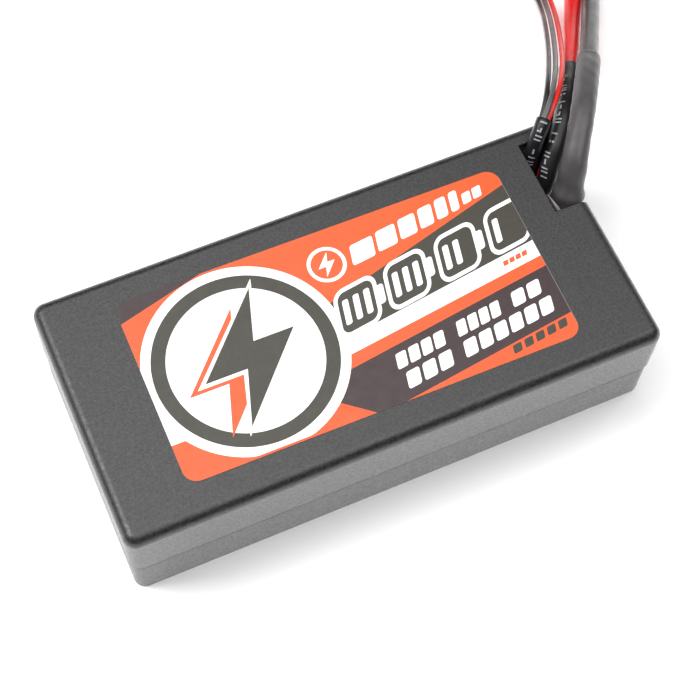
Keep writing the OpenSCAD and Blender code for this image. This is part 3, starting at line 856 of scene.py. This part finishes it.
def puckered(s, turn):
    """The wide sleeve's radius: its own, less two grooves, and more where it spreads, folds and swells."""
    above = s - NECK
    groove = 0.22 * bell(turn_from(turn, FRONT + 0.05), 0.38)
    back_groove = 0.2 * bell(turn_from(turn, FRONT + 3.4), 0.5)
    spread_out = 0.40 * step_between(-above, -1.6, 1.2)
    bead = 0.55 * bell(above + 1.3, 0.9) * (0.5 - 0.5 * math.cos(turn))
    folds = 0.09 * math.sin(5 * turn + 0.7) * step_between(-above, -3.0, 0.5)
    waves = 0.03 * math.sin(1.7 * s + 2 * turn)
    swell = 0.26 * bell(above - 2.8, 3.4) * math.cos(turn) ** 2
    return NEGATIVE_R - groove - back_groove + spread_out + bead + folds + waves + swell


def puckered_bore(s, turn):
    return max(LEAD_D / 2 + 0.02, puckered(s, turn) - SLEEVE_T)


negative_sleeve = tube("negative_shrink_sleeve", negative_run,
                       sleeve_ends(negative_run, NEGATIVE_ROUTE, NEGATIVE_SLEEVE),
                       puckered, 72, shrink_sleeve, bore=puckered_bore)

# The printed sleeve is whole further out, and only a strip of it reaches down into the bay
SPLIT = positive_run.nearest((48.7, 17.9, 21.8))


def positive_cover(s):
    free = step_between(s - SPLIT, -6.0, -1.5)
    low_half = 1.30             # half width of the strip, in radians
    middle = FRONT + 0.62 * (1 - free)
    half = low_half + (math.pi - 0.02 - low_half) * free ** 1.5
    return middle, half


def positive_radius(s, turn):
    return POSITIVE_R + 0.03 * math.sin(1.3 * s + 2 * turn)


positive_sleeve = open_sleeve("positive_shrink_sleeve", positive_run,
                              sleeve_ends(positive_run, POSITIVE_ROUTE, POSITIVE_SLEEVE),
                              positive_radius, 0.25, positive_cover, 48, printed_sleeve)


def balance_radius(s, turn):
    return BALANCE_R + 0.02 * math.sin(1.9 * s + 3 * turn)


balance_ends = sleeve_ends(balance_run, BALANCE_ROUTE, BALANCE_SLEEVE)
balance_sleeve = tube("balance_shrink_sleeve", balance_run, balance_ends, balance_radius, 40,
                      printed_sleeve, bore=lambda s, turn: balance_radius(s, turn) - SLEEVE_T)

positive_marks = printed_marks(
    "positive_sleeve_marks", positive_run, positive_radius,
    lambda s: FRONT + 0.05 - 0.65 * step_between(s - SPLIT, -8, -2),
    (TALL, PAIR, DASH, PAIR, SPACE, DOTS, TALL, SPACE, PAIR, STEP, DASH, TALL, SPACE, DOTS, PAIR,
     TALL, SPACE, DASH, PAIR),
    SPLIT - 6.5, sleeve_ink)
balance_marks = printed_marks(
    "balance_sleeve_marks", balance_run, balance_radius, lambda s: FRONT + 0.15,
    (PAIR, TALL, DASH, SPACE, PAIR, STEP, TALL),
    balance_ends[1] - 8.6, sleeve_ink)


def sleeve_fold():
    """A fold of the wide sleeve, which stands up between it and the bay's inner wall. Its skin is coloured
    lighter than the sleeve, as a painted highlight.
    """
    line = ((41.95, 9.3, 21.3, 0.10), (42.05, 8.2, 21.7, 0.22), (42.2, 7.1, 21.75, 0.36),
            (42.4, 6.1, 21.6, 0.50), (42.6, 5.5, 21.2, 0.58))
    depth = 3.2
    fine = even(catmull_rom(np.array(line), 12), 0.2)
    points = []
    for x, y, z, width in fine:
        for dx, dz in ((-0.5, -0.12), (-0.2, 0.0), (0.2, 0.0), (0.5, -0.16)):
            points.append((x + width * dx, y, z + dz))
        points.append((x + 0.5 * width + 0.25, y, z - depth))
        points.append((x - 0.1, y, z - depth))
    sides = 6
    count = len(fine)
    faces = [[i * sides + k, i * sides + (k + 1) % sides, (i + 1) * sides + (k + 1) % sides,
              (i + 1) * sides + k] for i in range(count - 1) for k in range(sides)]
    faces.append(list(reversed(range(sides))))
    faces.append([(count - 1) * sides + k for k in range(sides)])
    uvs = [(MM * points[k][1], MM * points[k][2]) for face in faces for k in face]
    return mesh_piece("negative_sleeve_fold", points, faces, fold_painted_highlight, uvs)


negative_fold = sleeve_fold()


def painted_shade_backing():
    """A dark sheet spread out behind the leads, shaped like the split back of the printed sleeve. It is
    painted shade: it closes the bay where only shadow lies between the leads.
    """
    start, end = SPLIT - 11, SPLIT + 9
    columns, thickness, behind = 12, 0.2, 2.3
    low, high = positive_run.part(start, end)
    points = []
    for depth in (0, thickness):
        for i in range(low, high):
            s = positive_run.s[i]
            left = 3.8 - 1.7 * step_between(s - SPLIT, 4.5, 8)
            right = 2.7 + 0.5 * step_between(s - SPLIT, -9, -6)
            for k in range(columns + 1):
                across = left - (left + right) * k / columns
                sag = behind + depth + 0.25 * math.sin(1.3 * across)
                x, y, z = positive_run.place[i] + across * positive_run.left[i] - sag * positive_run.up[i]
                if x < BAY_HIGH[0] + 0.4 and y > BAY_HIGH[1] - 0.1 - depth:
                    # down in the bay it stops at the back wall, and above that it lies on the wall
                    if s < SPLIT:
                        y = BAY_HIGH[1] - 0.1 - depth
                    else:
                        z = max(z, BAY_HIGH[2] + 0.25 - depth)
                points.append((x, y, z))
    faces = sheet_faces(high - low, columns + 1)
    uvs = [(MM * points[k][0], MM * points[k][1]) for face in faces for k in face]
    return mesh_piece("positive_shade_sheet", points, faces, shade_backing_black, uvs)


# a dark sheet of painted shade behind the leads
positive_shade_backing = painted_shade_backing()

# ---- boots over the joints at the plug -----------------------------------------------

PLUG_PLACE = (77, 78, 4)
PLUG_TURN = math.radians(115)
PLUG_LEAD_Y = 3.2
BOOT_START, BOOT_END = -4.9, 3.95
BLADE_REACH = 3.02


def in_plug(x, y, z):
    """A point of the plug's own frame in the object's frame, in mm."""
    cos, sin = math.cos(PLUG_TURN), math.sin(PLUG_TURN)
    return (PLUG_PLACE[0] + cos * x - sin * y, PLUG_PLACE[1] + sin * x + cos * y, PLUG_PLACE[2] + z)


def boot(name, side, upright, material):
    """A boot shrunk round on the lead and flat on the contact's tail."""
    rings, sides = 36, 56
    points = []
    for depth in (0.0, 0.22):
        for i in range(rings + 1):
            x = BOOT_START + (BOOT_END - BOOT_START) * i / rings
            opened = step_between(x, -2.8, 1.0)
            wide = 2.1 + (BLADE_REACH - 2.1) * opened
            thin = 2.1 - 0.35 * opened
            wrinkle = 0.035 * math.sin(4.2 * x) * (1 - opened) + 0.03 * math.sin(2.1 * x + 1) * opened
            half_y, half_z = (thin, wide) if upright else (wide, thin)
            for k in range(sides):
                turn = 2 * math.pi * k / sides
                ripple = 1 + 0.008 * math.sin(7 * turn + 1.6 * x)
                points.append(in_plug(x, side * PLUG_LEAD_Y
                                      + (half_y + wrinkle - depth) * math.cos(turn) * ripple,
                                      (half_z + wrinkle - depth) * math.sin(turn) * ripple))
    inner = (rings + 1) * sides
    faces = []
    for i in range(rings):
        for k in range(sides):
            a, b = i * sides + k, i * sides + (k + 1) % sides
            faces.append([a, b, b + sides, a + sides])
            faces.append([inner + a + sides, inner + b + sides, inner + b, inner + a])
    last = rings * sides
    for k in range(sides):
        m = (k + 1) % sides
        faces.append([m, k, inner + k, inner + m])
        faces.append([last + k, last + m, inner + last + m, inner + last + k])
    uvs = [(MM * 0.3 * (k % sides), MM * 0.25 * ((k % inner) // sides)) for face in faces for k in face]
    return mesh_piece(name, points, faces, material, uvs)


negative_boot = boot("negative_shrink_boot", -1, True, black_boot)
positive_boot = boot("positive_shrink_boot", 1, False, red_boot)

for piece, slot, replaced in (
    (negative_lead, "black_silicone", ["negative_lead"]),
    (positive_lead, "red_silicone", ["positive_lead"]),
    (negative_sleeve, "shrink_sleeve", ["negative_sleeve"]),
    (negative_fold, "shrink_sleeve", []),
    (positive_sleeve, "printed_sleeve", ["positive_sleeve"]),
    (positive_marks, "printed_sleeve", []),
    (positive_shade_backing, "printed_sleeve", []),
    (balance_sleeve, "printed_sleeve", ["balance_sleeve"]),
    (balance_marks, "printed_sleeve", []),
    (wires[1], "black_wire", ["balance_wire_black"]),
    (wires[0], "grey_wire", ["balance_wire_middle"]),
    (wires[-1], "red_wire", ["balance_wire_red"]),
    (negative_boot, "black_boot", ["negative_boot"]),
    (positive_boot, "red_boot", ["positive_boot"]),
):
    stand_in(piece, slot, *replaced)


# ---- floor and light -----------------------------------------------------------------

FLOOR_REACH = 6000
FLOOR_Z = -0.02
FLOOR_GLOW = 0.12               # what the picture shows of the floor's own light
FLOOR_BOUNCE = 1.2              # what reaches the pack: the sheet below it is lit past white
floor_material = surface("floor", (0.90, 0.90, 0.90), (0.88, 0.88, 0.88), 0.8, tint_scale=3.0,
                         bumps=(), glow=FLOOR_GLOW)
tree = floor_material.node_tree
seen = node(tree, "ShaderNodeLightPath").outputs["Is Camera Ray"]
tree.links.new(spread(tree, seen, FLOOR_BOUNCE, FLOOR_GLOW, 0, 1),
               tree.nodes["Principled BSDF"].inputs["Emission Strength"])
floor_corners = [(sx * FLOOR_REACH, sy * FLOOR_REACH, FLOOR_Z)
                 for sx, sy in ((-1, -1), (1, -1), (1, 1), (-1, 1))]
floor = mesh_piece("floor", floor_corners, [(0, 1, 2, 3)], floor_material, smooth=False)

world = bpy.data.worlds.new("studio")
world.use_nodes = True
world.node_tree.nodes["Background"].inputs["Color"].default_value = (1, 1, 1, 1)
world.node_tree.nodes["Background"].inputs["Strength"].default_value = 0.02
SCENE.world = world


def softbox(name, place, size, radiance, aim=(0, 0, 0)):
    """A rectangular area light at place, facing aim, all in metres."""
    lamp = bpy.data.lights.new(name, "AREA")
    lamp.shape = "RECTANGLE"
    lamp.size, lamp.size_y = size
    lamp.energy = radiance * math.pi * size[0] * size[1]
    light = bpy.data.objects.new(name, lamp)
    light.location = place
    light.rotation_euler = (Vector(aim) - Vector(place)).to_track_quat("-Z", "Y").to_euler()
    SCENE.collection.objects.link(light)


softbox("top_softbox", (-0.03, 0.05, 0.75), (0.82, 1.0), 3.35)
softbox("left_softbox", (-0.66, 0.32, 0.80), (0.45, 0.5), 10.0)
softbox("right_softbox", (0.68, 0.15, 0.75), (0.3, 0.4), 4.0)
